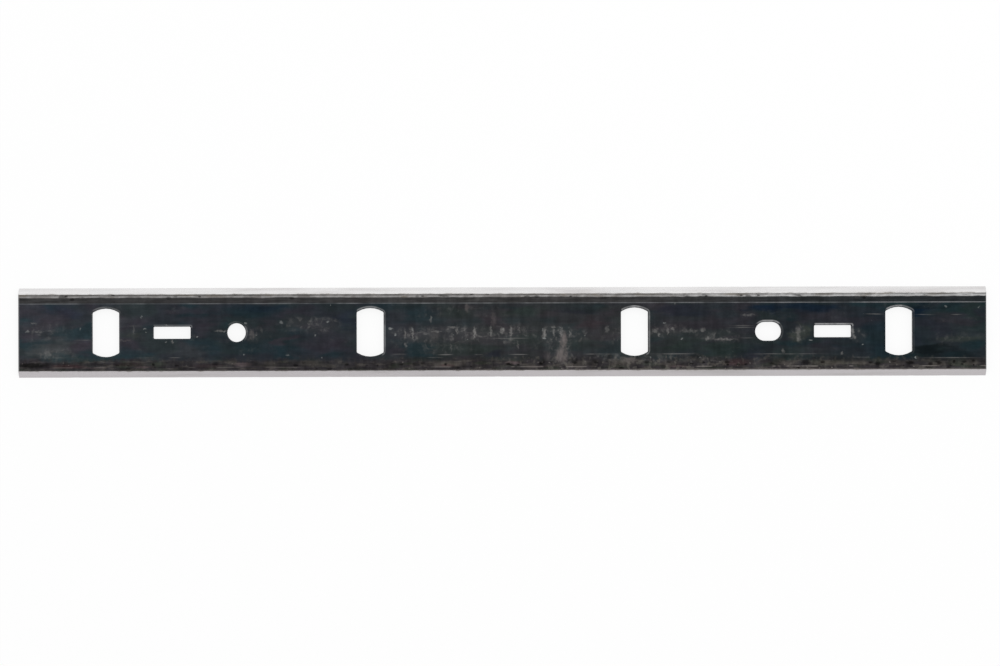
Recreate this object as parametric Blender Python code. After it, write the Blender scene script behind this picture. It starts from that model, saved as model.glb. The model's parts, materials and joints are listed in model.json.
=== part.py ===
"""Double-edged planer knife: one strip of tempered steel, 13 inch class, lying on its flat back face.

Metres, +Z up. X runs along the knife, Y across it and Z out of the bevelled front face.
The origin is under the middle of the knife, on the plane of its back face.
"""

import math

import bmesh
import bpy

# The strip
KNIFE_LENGTH = 0.3302
KNIFE_WIDTH = 0.0305
KNIFE_THICKNESS = 0.0020

# Each long side, from the cutting edge in to the middle field
EDGE_ANGLE = math.radians(40.0)
HEEL_BAND_WIDTH = 0.00127
HEEL_BAND_DROP = 0.00010
LAND_WIDTH = 0.00175
SHOULDER_WIDTH = 0.00030
FIELD_RISE = 0.00006

# The short front edges at the two ends
END_BREAK = 0.00040

# The four large openings: a circle cut off by two flats
OPENING_COUNT = 4
OPENING_DIAMETER = 0.0165
OPENING_FLATS = 0.0092
OPENING_CORNER = 0.0006
OPENING_FROM_END = 0.0298

# A slot beside each outer opening, measured from that opening
SLOT_LENGTH = 0.0127
SLOT_WIDTH = 0.0041
SLOT_CORNER = 0.0004
SLOT_FROM_OPENING = 0.0226

# A pin hole past each slot: round on the left, and long on the right to let the steel grow
PIN_HOLE_DIAMETER = 0.0064
PIN_HOLE_STRETCH = 0.0025
PIN_HOLE_FROM_SLOT = 0.0220

# The rims of every hole: drawn in by the punch at the front, only deburred at the back
FRONT_RIM = 0.00040
BACK_RIM = 0.00012

# How finely arcs are drawn, and how far cutters reach past what they cut
ARC_STEP = math.radians(12.0)
RIM_STEPS = 3
CUTTER_REACH = 0.0010
WELD_DISTANCE = 1e-7

OXIDE_STEEL = {"color": (0.030, 0.036, 0.045, 1.0), "metallic": 0.85, "roughness": 0.45}
GROUND_STEEL = {"color": (0.62, 0.62, 0.63, 1.0), "metallic": 1.0, "roughness": 0.28}


def clear_scene():
    for leftover in list(bpy.data.objects):
        bpy.data.objects.remove(leftover, do_unlink=True)


def new_collection(name, for_cutters=False):
    collection = bpy.data.collections.new(name)
    collection.hide_render = for_cutters
    bpy.context.scene.collection.children.link(collection)
    return collection


def steel(name, finish):
    material = bpy.data.materials.new(name)
    material.use_nodes = True
    shader = material.node_tree.nodes["Principled BSDF"]
    shader.inputs["Base Color"].default_value = finish["color"]
    shader.inputs["Metallic"].default_value = finish["metallic"]
    shader.inputs["Roughness"].default_value = finish["roughness"]
    return material


def section_points():
    """The section across the knife as (y, z): its right half from the field down to the edge, then the left."""
    land_height = KNIFE_THICKNESS - FIELD_RISE
    heel_height = land_height - HEEL_BAND_DROP
    edge = KNIFE_WIDTH / 2
    heel = edge - heel_height / math.tan(EDGE_ANGLE)
    band = heel - HEEL_BAND_WIDTH
    shoulder = band - LAND_WIDTH
    field = shoulder - SHOULDER_WIDTH
    right = [
        (field, KNIFE_THICKNESS),
        (shoulder, land_height),
        (band, land_height),
        (heel, heel_height),
        (edge, 0.0),
    ]
    return right + [(-y, z) for y, z in reversed(right)]


def ground_strip(name, collection):
    """The strip before anything is punched: the section drawn as a flat curve and extruded along the knife."""
    outline = bpy.data.curves.new(name + "_section", "CURVE")
    outline.dimensions = "2D"
    outline.fill_mode = "BOTH"
    outline.extrude = KNIFE_LENGTH / 2
    points = section_points()
    spline = outline.splines.new("POLY")
    spline.points.add(len(points) - 1)
    for point, (y, z) in zip(spline.points, points):
        point.co = (y, z, 0.0, 1.0)
    spline.use_cyclic_u = True
    drawn = bpy.data.objects.new(name + "_section", outline)
    drawn.rotation_euler = (math.radians(90), 0.0, math.radians(90))
    collection.objects.link(drawn)
    bpy.context.view_layer.update()

    graph = bpy.context.evaluated_depsgraph_get()
    mesh = bpy.data.meshes.new_from_object(drawn.evaluated_get(graph))
    mesh.name = name
    mesh.transform(drawn.matrix_world)
    bpy.data.objects.remove(drawn, do_unlink=True)
    strip = bpy.data.objects.new(name, mesh)
    collection.objects.link(strip)

    work = bmesh.new()
    work.from_mesh(mesh)
    bmesh.ops.remove_doubles(work, verts=work.verts, dist=WELD_DISTANCE)
    bmesh.ops.recalc_face_normals(work, faces=work.faces)
    work.to_mesh(mesh)
    work.free()
    return strip


def finish_strip(strip):
    """Dark oxide over the strip, and bright steel where the two bevels are ground."""
    mesh = strip.data
    mesh.materials.clear()
    mesh.materials.append(steel("tempered_oxide", OXIDE_STEEL))
    mesh.materials.append(steel("ground_bevel", GROUND_STEEL))
    least_lean = math.sin(EDGE_ANGLE) / 2
    for face in mesh.polygons:
        leans_out = abs(face.normal.y) > least_lean
        face.material_index = 1 if leans_out and face.normal.z > 0 else 0


def arc(centre, radius, start, end):
    """Points along an arc, both ends included, a step of ARC_STEP or less apart."""
    steps = max(2, math.ceil((end - start) / ARC_STEP))
    angles = [start + (end - start) * i / steps for i in range(steps + 1)]
    return [(centre[0] + radius * math.cos(a), centre[1] + radius * math.sin(a)) for a in angles]


def both_halves(upper):
    return upper + [(-x, -y) for x, y in upper]


def double_d(growth):
    """The large opening's outline, moved outwards by growth: flats at its sides, arcs at top and bottom."""
    across = OPENING_FLATS / 2 - OPENING_CORNER
    up = math.sqrt((OPENING_DIAMETER / 2 - OPENING_CORNER) ** 2 - across**2)
    turn = math.atan2(up, across)
    corner = OPENING_CORNER + growth
    upper = arc((across, up), corner, 0.0, turn)
    upper += arc((0.0, 0.0), OPENING_DIAMETER / 2 + growth, turn, math.pi - turn)
    upper += arc((-across, up), corner, math.pi - turn, math.pi)
    return both_halves(upper)


def rounded_box(length, width, corner):
    """An outline function for a slot, or for a long or round hole where the corner is half the width."""
    across, up = length / 2 - corner, width / 2 - corner

    def outline(growth):
        upper = arc((across, up), corner + growth, 0.0, math.pi / 2)
        upper += arc((-across, up), corner + growth, math.pi / 2, math.pi)
        return both_halves(upper)

    return outline


def hole_levels():
    """(growth, z) from under the back face to over the front: a broken back rim, the wall, a round front rim."""
    front = [(0.0, KNIFE_THICKNESS - FRONT_RIM)]
    for step in range(1, RIM_STEPS + 1):
        turn = math.pi / 2 * step / RIM_STEPS
        drawn_in = FRONT_RIM * (1 - math.cos(turn))
        below = FRONT_RIM * (1 - math.sin(turn))
        front.append((drawn_in, KNIFE_THICKNESS - below))
    (inner_growth, inner_z), (growth, z) = front[-2:]
    front[-1] = (2 * growth - inner_growth, 2 * z - inner_z)
    back = [(BACK_RIM + CUTTER_REACH, -CUTTER_REACH), (0.0, BACK_RIM)]
    return back + front


def hole_cutter(name, outline, centre_x, collection):
    """A solid through one outline at every level of a hole, so that it opens out at both faces."""
    work = bmesh.new()
    rings = []
    for growth, z in hole_levels():
        rings.append([work.verts.new((centre_x + x, y, z)) for x, y in outline(growth)])
    work.faces.new(reversed(rings[0]))
    work.faces.new(rings[-1])
    count = len(rings[0])
    for lower, upper in zip(rings, rings[1:]):
        for i in range(count):
            j = (i + 1) % count
            work.faces.new((lower[i], lower[j], upper[j], upper[i]))
    bmesh.ops.remove_doubles(work, verts=work.verts, dist=WELD_DISTANCE)
    bmesh.ops.recalc_face_normals(work, faces=work.faces)
    return cutter_from(work, name, collection)


def end_cutter(name, side, collection):
    """A block turned onto its edge, whose lower flank breaks the short front edge at one end."""
    block = KNIFE_WIDTH + 2 * CUTTER_REACH
    edge_to_middle = block / math.sqrt(2.0)
    work = bmesh.new()
    bmesh.ops.create_cube(work, size=block)
    cutter = cutter_from(work, name, collection)
    cutter.rotation_euler = (0.0, math.radians(45), 0.0)
    cutter.location = (side * (KNIFE_LENGTH / 2 - END_BREAK + edge_to_middle), 0.0, KNIFE_THICKNESS)
    return cutter


def cutter_from(work, name, collection):
    mesh = bpy.data.meshes.new(name)
    work.to_mesh(mesh)
    work.free()
    cutter = bpy.data.objects.new(name, mesh)
    cutter.hide_render = True
    cutter.display_type = "WIRE"
    collection.objects.link(cutter)
    return cutter


def hole_cutters(collection):
    """Every punched hole, mirrored about the middle of the knife, except that only one pin hole is long."""
    outer = KNIFE_LENGTH / 2 - OPENING_FROM_END
    pitch = 2 * outer / (OPENING_COUNT - 1)
    slot_x = outer - SLOT_FROM_OPENING
    pin_x = slot_x - PIN_HOLE_FROM_SLOT
    pin_radius = PIN_HOLE_DIAMETER / 2
    slot = rounded_box(SLOT_LENGTH, SLOT_WIDTH, SLOT_CORNER)
    round_hole = rounded_box(PIN_HOLE_DIAMETER, PIN_HOLE_DIAMETER, pin_radius)
    long_hole = rounded_box(PIN_HOLE_DIAMETER + PIN_HOLE_STRETCH, PIN_HOLE_DIAMETER, pin_radius)

    cutters = []
    for i in range(OPENING_COUNT):
        name = f"opening_{i + 1}_cutter"
        cutters.append(hole_cutter(name, double_d, i * pitch - outer, collection))
    cutters.append(hole_cutter("slot_left_cutter", slot, -slot_x, collection))
    cutters.append(hole_cutter("slot_right_cutter", slot, slot_x, collection))
    cutters.append(hole_cutter("pin_hole_left_cutter", round_hole, -pin_x, collection))
    cutters.append(hole_cutter("pin_hole_right_cutter", long_hole, pin_x, collection))
    return cutters


def cut(body, cutter):
    boolean = body.modifiers.new(cutter.name, "BOOLEAN")
    boolean.operation = "DIFFERENCE"
    boolean.solver = "EXACT"
    boolean.object = cutter


def build_knife():
    knife_parts = new_collection("planer_knife_part")
    cutters = new_collection("planer_knife_cutters", for_cutters=True)
    knife = ground_strip("planer_knife", knife_parts)
    finish_strip(knife)
    for cutter in hole_cutters(cutters):
        cut(knife, cutter)
    for name, side in (("left_end_cutter", -1), ("right_end_cutter", 1)):
        cut(knife, end_cutter(name, side, cutters))


clear_scene()
build_knife()
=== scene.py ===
import json
import math

import bmesh
import bpy
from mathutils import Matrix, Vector, noise


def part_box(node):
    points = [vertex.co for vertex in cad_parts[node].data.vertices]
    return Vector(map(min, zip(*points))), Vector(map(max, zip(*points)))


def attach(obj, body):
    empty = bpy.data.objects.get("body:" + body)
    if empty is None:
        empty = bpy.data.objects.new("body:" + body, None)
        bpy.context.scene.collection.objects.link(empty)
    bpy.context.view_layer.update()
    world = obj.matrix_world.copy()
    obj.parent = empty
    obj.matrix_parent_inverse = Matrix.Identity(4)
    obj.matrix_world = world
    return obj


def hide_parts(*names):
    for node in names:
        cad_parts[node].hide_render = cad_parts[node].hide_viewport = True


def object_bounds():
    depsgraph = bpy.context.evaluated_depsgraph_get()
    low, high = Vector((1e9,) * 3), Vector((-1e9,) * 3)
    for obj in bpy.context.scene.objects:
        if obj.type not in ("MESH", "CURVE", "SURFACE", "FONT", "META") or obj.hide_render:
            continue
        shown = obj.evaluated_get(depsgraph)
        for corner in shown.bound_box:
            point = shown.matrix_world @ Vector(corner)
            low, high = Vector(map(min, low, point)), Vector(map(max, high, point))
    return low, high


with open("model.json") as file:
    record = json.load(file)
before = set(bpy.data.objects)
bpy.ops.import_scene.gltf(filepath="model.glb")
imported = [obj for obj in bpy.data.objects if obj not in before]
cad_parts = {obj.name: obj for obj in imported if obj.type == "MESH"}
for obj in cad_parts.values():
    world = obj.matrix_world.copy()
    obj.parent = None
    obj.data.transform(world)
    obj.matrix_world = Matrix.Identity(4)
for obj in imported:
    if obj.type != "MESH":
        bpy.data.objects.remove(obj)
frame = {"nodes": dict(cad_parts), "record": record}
cadLow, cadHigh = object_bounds()
print("frame loaded:", sorted(frame["nodes"]))

mm = 0.001
bevelAngle = math.radians(40)
heelHeight = 1.84                # of the inner side of each bevel, as packed
heelLine = cadHigh.y / mm - heelHeight / math.tan(bevelAngle)


# Small helpers for shader trees


def shade(red, green, blue):
    # a screen colour, 0 to 255 a channel, as the shader wants it
    def linear(value):
        value /= 255
        return value / 12.92 if value <= 0.04045 else ((value + 0.055) / 1.055) ** 2.4
    return (linear(red), linear(green), linear(blue), 1.0)


def fill(tree, socket, value):
    if isinstance(value, bpy.types.NodeSocket):
        tree.links.new(value, socket)
    else:
        socket.default_value = value


def addNode(tree, kind, sockets=None, **settings):
    node = tree.nodes.new("ShaderNode" + kind)
    for name, value in settings.items():
        setattr(node, name, value)
    for name, value in (sockets or {}).items():
        fill(tree, node.inputs[name], value)
    return node


def maths(tree, operation, first, second=0.0, third=0.0, clamp=False):
    node = addNode(tree, "Math", {0: first, 1: second, 2: third}, operation=operation, use_clamp=clamp)
    return node.outputs[0]


def times(tree, *values):
    product = values[0]
    for value in values[1:]:
        product = maths(tree, "MULTIPLY", product, value)
    return product


def vectorMaths(tree, operation, first, second=(0, 0, 0)):
    node = addNode(tree, "VectorMath", {0: first, 1: second}, operation=operation)
    return node.outputs["Value" if operation == "LENGTH" else "Vector"]


def splitAxes(tree, vector):
    return addNode(tree, "SeparateXYZ", {"Vector": vector}).outputs


def lengthOf(tree, x, y):
    return vectorMaths(tree, "LENGTH", addNode(tree, "CombineXYZ", {0: x, 1: y}).outputs[0])


def ramp(tree, value, low, high, toLow=0.0, toHigh=1.0):
    # a smooth step of the value between low and high
    limits = {"Value": value, "From Min": low, "From Max": high, "To Min": toLow, "To Max": toHigh}
    return addNode(tree, "MapRange", limits, interpolation_type="SMOOTHSTEP").outputs["Result"]


def mixColour(tree, factor, first, second, blend="MIX"):
    node = addNode(tree, "Mix", data_type="RGBA", blend_type=blend)
    fill(tree, node.inputs[0], factor)
    fill(tree, node.inputs[6], first)
    fill(tree, node.inputs[7], second)
    return node.outputs[2]


def toned(tree, colour, tone):
    # the colour made lighter or darker by a tone of about 1, or tinted by another colour
    return mixColour(tree, 1.0, colour, tone, "MULTIPLY")


def noiseNode(tree, place, pitch, detail=3.0, roughness=0.55):
    # noise whose features are about one pitch long, in millimetres along each axis
    stretched = vectorMaths(tree, "DIVIDE", place, pitch)
    sockets = {"Vector": stretched, "Scale": 1.0, "Detail": detail, "Roughness": roughness}
    return addNode(tree, "TexNoise", sockets)


def noiseValue(tree, place, pitch, detail=3.0, roughness=0.55):
    return noiseNode(tree, place, pitch, detail, roughness).outputs["Fac"]


def drift(tree, place, pitch, amount):
    # the place pushed about by noise, so that what is drawn there gets a ragged outline
    push = noiseNode(tree, place, pitch).outputs["Color"]
    push = vectorMaths(tree, "SUBTRACT", push, (0.5, 0.5, 0.5))
    push = vectorMaths(tree, "MULTIPLY", push, amount)
    return vectorMaths(tree, "ADD", place, push)


def newGroup(name, inputs, output):
    # a shader node group with named sockets and one output
    tree = bpy.data.node_groups.new(name, "ShaderNodeTree")
    for socketName, value in inputs.items():
        kind = "NodeSocketVector" if isinstance(value, tuple) else "NodeSocketFloat"
        socket = tree.interface.new_socket(name=socketName, in_out="INPUT", socket_type=kind)
        socket.default_value = value
    tree.interface.new_socket(name=output, in_out="OUTPUT", socket_type="NodeSocketFloat")
    given = tree.nodes.new("NodeGroupInput").outputs
    return tree, given, tree.nodes.new("NodeGroupOutput").inputs[0]


def useGroup(tree, name, sockets):
    node = tree.nodes.new("ShaderNodeGroup")
    node.node_tree = groups[name]
    for socketName, value in sockets.items():
        fill(tree, node.inputs[socketName], value)
    return node.outputs[0]


# Effects that more than one finish uses, all in millimetres on the knife


def makeStreaks():
    # fine lines left by rolling or grinding: a tone of about 1, drawn out along the longest pitch
    inputs = {"Place": (0, 0, 0), "Pitch": (1, 1, 1), "Depth": 0.1}
    tree, given, out = newGroup("streaks", inputs, "Tone")
    lines = noiseValue(tree, given["Place"], given["Pitch"], 3.0, 0.6)
    lines = ramp(tree, lines, 0.25, 0.75, -1.0, 1.0)
    tree.links.new(maths(tree, "MULTIPLY_ADD", lines, given["Depth"], 1.0), out)
    return tree


def makePatch():
    # a soft oval patch: full inside, gone at its reach
    inputs = {"Place": (0, 0, 0), "Centre": (0, 0, 0), "Reach": (10, 3, 1), "Strength": 1.0}
    tree, given, out = newGroup("patch", inputs, "Mask")
    away = vectorMaths(tree, "SUBTRACT", given["Place"], given["Centre"])
    away = vectorMaths(tree, "DIVIDE", away, given["Reach"])
    away = vectorMaths(tree, "MULTIPLY", away, (1, 1, 0))
    mask = ramp(tree, vectorMaths(tree, "LENGTH", away), 1.0, 0.3)
    tree.links.new(times(tree, mask, given["Strength"]), out)
    return tree


def makeSpeckle():
    # scattered dots of uneven size, one in each cell that is picked
    inputs = {"Place": (0, 0, 0), "Cell": 2.0, "Share": 0.2, "Size": 0.25}
    tree, given, out = newGroup("speckle", inputs, "Dots")
    scale = maths(tree, "DIVIDE", 1.0, given["Cell"])
    flat = {"feature": "F1", "voronoi_dimensions": "2D"}
    cells = addNode(tree, "TexVoronoi", {"Vector": given["Place"], "Scale": scale}, **flat)
    pick = addNode(tree, "SeparateColor", {"Color": cells.outputs["Color"]})
    chosen = maths(tree, "LESS_THAN", pick.outputs[0], given["Share"])
    size = times(tree, given["Size"], maths(tree, "ADD", pick.outputs[1], 0.3))
    size = maths(tree, "DIVIDE", size, given["Cell"])
    inside = maths(tree, "DIVIDE", cells.outputs["Distance"], size)
    tree.links.new(times(tree, ramp(tree, inside, 1.0, 0.5), chosen), out)
    return tree


def makeBand():
    # a band from Low to High, with soft sides
    inputs = {"Value": 0.0, "Low": 0.0, "High": 1.0, "Soft": 0.1}
    tree, given, out = newGroup("band", inputs, "Mask")
    lowEnd = maths(tree, "ADD", given["Low"], given["Soft"])
    highEnd = maths(tree, "SUBTRACT", given["High"], given["Soft"])
    rises = ramp(tree, given["Value"], given["Low"], lowEnd)
    falls = ramp(tree, given["Value"], given["High"], highEnd)
    tree.links.new(times(tree, rises, falls), out)
    return tree


# The painted highlight along a hole's rim: each pair is where it is absent and where it is full
rimHighlightLine = {
    "inside": (0.10, 0.32),      # past the hole, in millimetres
    "outside": (0.86, 0.50),
    "upper": (0.72, 0.95),       # up the hole, against its half height
    "left": (-1.02, -0.90),      # along the hole, against its half length
    "right": (0.80, 1.00),
}


def makeRimHighlight():
    # a painted highlight on the top and right side of a hole's rim, and the corner between them
    # Half is its half length between flats, half height and stretch
    inputs = {"Place": (0, 0, 0), "Centre": (0, 0, 0), "Half": (3, 3, 0), "Radius": 3.0}
    inputs.update({"Top": 1.0, "Right": 0.5})
    tree, given, out = newGroup("holeRimHighlight", inputs, "Mask")
    away = splitAxes(tree, vectorMaths(tree, "SUBTRACT", given["Place"], given["Centre"]))
    half = splitAxes(tree, given["Half"])
    x, y = maths(tree, "ABSOLUTE", away["X"]), maths(tree, "ABSOLUTE", away["Y"])

    # how far outside the hole a place is: past its arcs or its level sides, and past its flats
    bent = maths(tree, "MAXIMUM", maths(tree, "SUBTRACT", x, half["Z"]), 0.0)
    over = maths(tree, "SUBTRACT", lengthOf(tree, bent, y), given["Radius"])
    over = maths(tree, "MAXIMUM", over, 0.0)
    over = maths(tree, "MAXIMUM", over, maths(tree, "SUBTRACT", y, half["Y"]))
    beside = maths(tree, "MAXIMUM", maths(tree, "SUBTRACT", x, half["X"]), 0.0)
    gap = lengthOf(tree, over, beside)
    near = times(tree, ramp(tree, gap, *rimHighlightLine["inside"]), ramp(tree, gap, *rimHighlightLine["outside"]))

    halfLength = maths(tree, "MINIMUM", half["X"], maths(tree, "ADD", given["Radius"], half["Z"]))
    along = maths(tree, "DIVIDE", away["X"], halfLength)
    upper = ramp(tree, maths(tree, "DIVIDE", away["Y"], half["Y"]), *rimHighlightLine["upper"])
    upper = times(tree, upper, ramp(tree, along, *rimHighlightLine["left"]), given["Top"])
    right = times(tree, ramp(tree, along, *rimHighlightLine["right"]), given["Right"])
    tree.links.new(times(tree, near, maths(tree, "MAXIMUM", upper, right)), out)
    return tree


groups = {
    "streaks": makeStreaks(),
    "patch": makePatch(),
    "speckle": makeSpeckle(),
    "band": makeBand(),
    "holeRimHighlight": makeRimHighlight(),
}
print("shader groups made:", len(groups))


def streaks(tree, place, pitch, depth):
    return useGroup(tree, "streaks", {"Place": place, "Pitch": pitch, "Depth": depth})


def patchesMask(tree, place, patches, swell=1.0):
    # all the patches of one kind as one mask: centre x and y, reach along and across, strength
    total = None
    for x, y, along, across, strength in patches:
        reach = (along * swell, across * swell, 1)
        sockets = {"Place": place, "Centre": (x, y, 0), "Reach": reach, "Strength": strength}
        mask = useGroup(tree, "patch", sockets)
        total = mask if total is None else maths(tree, "MAXIMUM", total, mask)
    return total


def paint(tree, colour, mask, coat, share=1.0):
    # one more coat of colour where the mask is
    if share != 1.0:
        mask = times(tree, mask, share)
    return mixColour(tree, mask, colour, coat)


def startMaterial(name):
    # an empty steel material, with the place on the knife in millimetres
    material = bpy.data.materials.new(name)
    material.use_nodes = True
    tree = material.node_tree
    coordinates = addNode(tree, "TexCoord")
    place = vectorMaths(tree, "MULTIPLY", coordinates.outputs["Object"], (1 / mm, 1 / mm, 1 / mm))
    return material, tree, place


def finishMaterial(tree, finish, colour, roughness, height):
    shader = tree.nodes["Principled BSDF"]
    sockets = {"Strength": finish["bump"], "Distance": finish["bumpDepth"] * mm, "Height": height}
    bump = addNode(tree, "Bump", sockets)
    shader.inputs["Metallic"].default_value = finish["metallic"]
    fill(tree, shader.inputs["Base Color"], colour)
    fill(tree, shader.inputs["Roughness"], roughness)
    fill(tree, shader.inputs["Normal"], bump.outputs["Normal"])


# The front face: blue-black tempering colours, stains, scuffs, and painted highlights on the hole rims and
# ends

frontFinish = {
    "metallic": 1.0,
    "roughness": 0.42,
    "bump": 0.20,
    "bumpDepth": 0.02,
    "slate": shade(46, 48, 53),
    "teal": shade(35, 50, 55),
    "navy": shade(39, 42, 54),
    "deepBlue": shade(26, 37, 51),
    "mauve": shade(57, 51, 58),
    "rose": shade(62, 52, 58),
    "green": shade(45, 54, 52),
    "olive": shade(64, 65, 59),
    "grey": shade(63, 64, 66),
    "shadow": shade(27, 30, 33),
    "tan": shade(116, 108, 106),
    "haze": shade(74, 75, 76),
    "scuff": shade(126, 124, 122),
    "speck": shade(160, 162, 161),
    # painted highlight on the tops and right sides of the hole rims
    "rimHighlightColour": shade(146, 146, 147),
    # painted highlight along the short front edge at each end
    "endHighlightColour": shade(150, 150, 151),
    "leftTint": (1.05, 1.12, 1.11, 1.0),       # how the colours are thinned from left to right
    "darkTint": (0.69, 0.75, 0.78, 1.0),
    "middleTint": (0.74, 0.74, 0.71, 1.0),
    "rightTint": (0.53, 0.655, 0.655, 1.0),
    "hazeShare": 0.22,
    "scuffShare": 0.52,
    "scratchShare": 0.66,
    "scratchWidth": 0.24,        # half of it, in millimetres
    "straySpecks": 0.015,        # the share of spots that hold a speck where nothing is scuffed
    "scuffSpecks": 0.35,         # and how much that grows where all is scuffed
    "speckShare": 0.25,
    "endBreak": (0.50, 0.30),    # how far from each end the painted highlight begins, and where it is full
    "endShares": (0.35, 0.15),   # how strong the painted highlight is at the left end, and at the right one
}

# How strongly the single marks are painted, and how far they reach
markStrength = {"tan": 1.0, "scuff": 0.80, "speck": 0.66}
markSwell = {"tan": 1.0, "scuff": 1.0, "speck": 0.85}

# Where each tint begins to take over along the knife, and where it is full
temperTints = [("darkTint", -165, -75), ("middleTint", -50, 0), ("rightTint", 20, 150)]

# Loose clouds of colour all over the face: how far each is shifted along its noise, and its share
temperClouds = [("teal", 0, 0.68), ("mauve", 210, 0.58), ("green", 430, 0.40)]

# Lines left by rolling, finer lines, blotches and grain: pitch in millimetres, and depth
faceStreaks = [((34, 1.3, 1), 0.07), ((16, 0.6, 1), 0.025), ((5.0, 2.6, 2), 0.16), ((1.6, 1.2, 1), 0.06)]

# Upright rub marks: deep in the middle, and shallower at the left end and most of all at the right
rubMarks = {
    "pitch": (2.4, 14.0, 2),
    "leftDepth": 0.10,
    "depth": 0.17,
    "growOver": (-60.0, -20.0),      # where they grow to their full depth
    "rightLoss": 0.09,
    "fadeOver": (125.0, 145.0),      # and where they lose it again
}

# Each patch: centre x and y, reach along and across, strength
temperPatches = {
    "grey": [
        (4, 0, 100, 15, 0.35), (-152, -5.8, 11, 4.6, 0.8), (-134, 2, 6, 5, 0.3), (158, -1.5, 8, 3.5, 0.45),
        (105, -8.2, 22, 2.2, 0.4), (-106, -6.5, 10, 3.5, 0.5),
    ],
    "teal": [
        (-151, -8.4, 6, 2, 0.7), (-126, -7, 9, 2.5, 0.6), (-88, 7.6, 20, 3.5, 0.7), (-76, -5, 20, 4, 0.6),
        (-29, 6, 9, 4, 0.6), (-28, -6.6, 9, 3, 0.9), (72, 6, 7, 4, 0.4), (122, -5, 10, 2.5, 0.4),
        (160, -6.5, 7, 3.5, 0.2),
    ],
    "navy": [
        (-152, 7.8, 8, 3.5, 0.6), (-51, 4, 6, 5, 0.5), (-4, -8, 4.5, 2.2, 0.6), (26, 7.6, 11, 3, 0.5),
        (59, 7.6, 12, 2.6, 0.6), (83, -7, 9, 3.5, 0.6), (132, 0, 30, 12, 0.35),
    ],
    "mauve": [
        (-156, 3.4, 9, 3.5, 0.5), (-142, -5, 5, 4, 0.6), (-105, 2.2, 7, 5, 0.4), (-60, -3.6, 10, 3.5, 0.6),
        (0, 3.5, 7, 5, 0.5), (36, 7, 6, 3.5, 0.5), (66, 1.8, 18, 3.5, 0.5), (115, 3, 16, 3, 0.7),
    ],
    "green": [
        (-96, 0.8, 10, 5, 0.3), (-16, 7, 9, 3.5, 0.6), (-13, -5.5, 17, 3.5, 0.6), (7, 7.5, 10, 2.6, 0.6),
        (11, -3.2, 11, 2.6, 0.6), (28, -4.5, 9, 3.5, 0.4), (60, -4.8, 8, 2.5, 0.7), (76, -6.5, 14, 3.5, 0.7),
        (98, -7.5, 10, 3.0, 0.5), (30, 8.2, 14, 2.4, 0.4), (68, -1.5, 16, 2.5, 0.4), (161, 7.0, 5, 3.0, 0.6),
    ],
    "rose": [
        (-80, 2.3, 4, 2.4, 0.3), (-73, -2.6, 4.4, 2.2, 0.5), (31, 2.6, 8, 3, 0.6), (155, 3.8, 9, 3.2, 0.5),
    ],
    "olive": [
        (-128, -0.5, 6, 2, 0.3), (100.5, -0.5, 4, 5, 0.6), (155, -2.8, 9, 2.4, 0.5),
    ],
    "deepBlue": [
        (91, 7.4, 14, 2.8, 1.0), (106, 8, 11, 3.4, 0.9), (143, 7.2, 7, 3, 1.0), (-84, 8.4, 12, 1.6, 0.4),
    ],
    "shadow": [
        (-153, -0.9, 6, 1.4, 0.5), (147.5, -6.2, 8.5, 2.5, 0.95), (152, -8.0, 18, 2.4, 0.45),
        (150, 9.0, 16, 1.0, 0.4), (110, -9.0, 8, 1.6, 0.4), (-20, 8.2, 26, 2.8, 0.14),
    ],
}

# Scuffed areas, where the light marks are broken up by noise
scuffedAreas = [
    (-155, 0.5, 10, 4, 0.5), (-152, -7.2, 8, 3, 0.65), (-86, -0.6, 5, 5, 0.3), (-65, 2.4, 13, 4, 0.75),
    (-29, -1.2, 13, 4.5, 0.8), (-12, -0.9, 13, 4.5, 0.88), (3, -0.6, 11, 4.6, 0.84),
    (20, -1.2, 12, 4.6, 0.78), (20, -7.5, 6, 5.5, 0.75), (39, -1.5, 7, 4, 0.45), (56, 0.4, 10, 3, 0.5),
    (74, -1.6, 10, 3, 0.5), (101, -0.4, 5, 4, 0.6), (121, -1.5, 4, 3, 0.5), (153, -2.6, 9, 3, 0.30),
    (-14, 7.2, 22, 3.4, 0.20), (60, -9.5, 26, 2.6, 0.4), (42, -8.8, 24, 2.4, 0.5), (-22, -5.5, 16, 2.8, 0.35),
]

scuffShape = {
    "stray": 0.20,               # how strong the scuffing is away from the areas
    "smearPitch": (1.7, 3.4, 2),     # upright smears
    "linePitch": (5.0, 1.0, 2),      # thin level lines
    "lineShare": 0.7,
    "gritPitch": (1.7, 1.5, 1),      # what breaks both of them up
}

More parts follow.
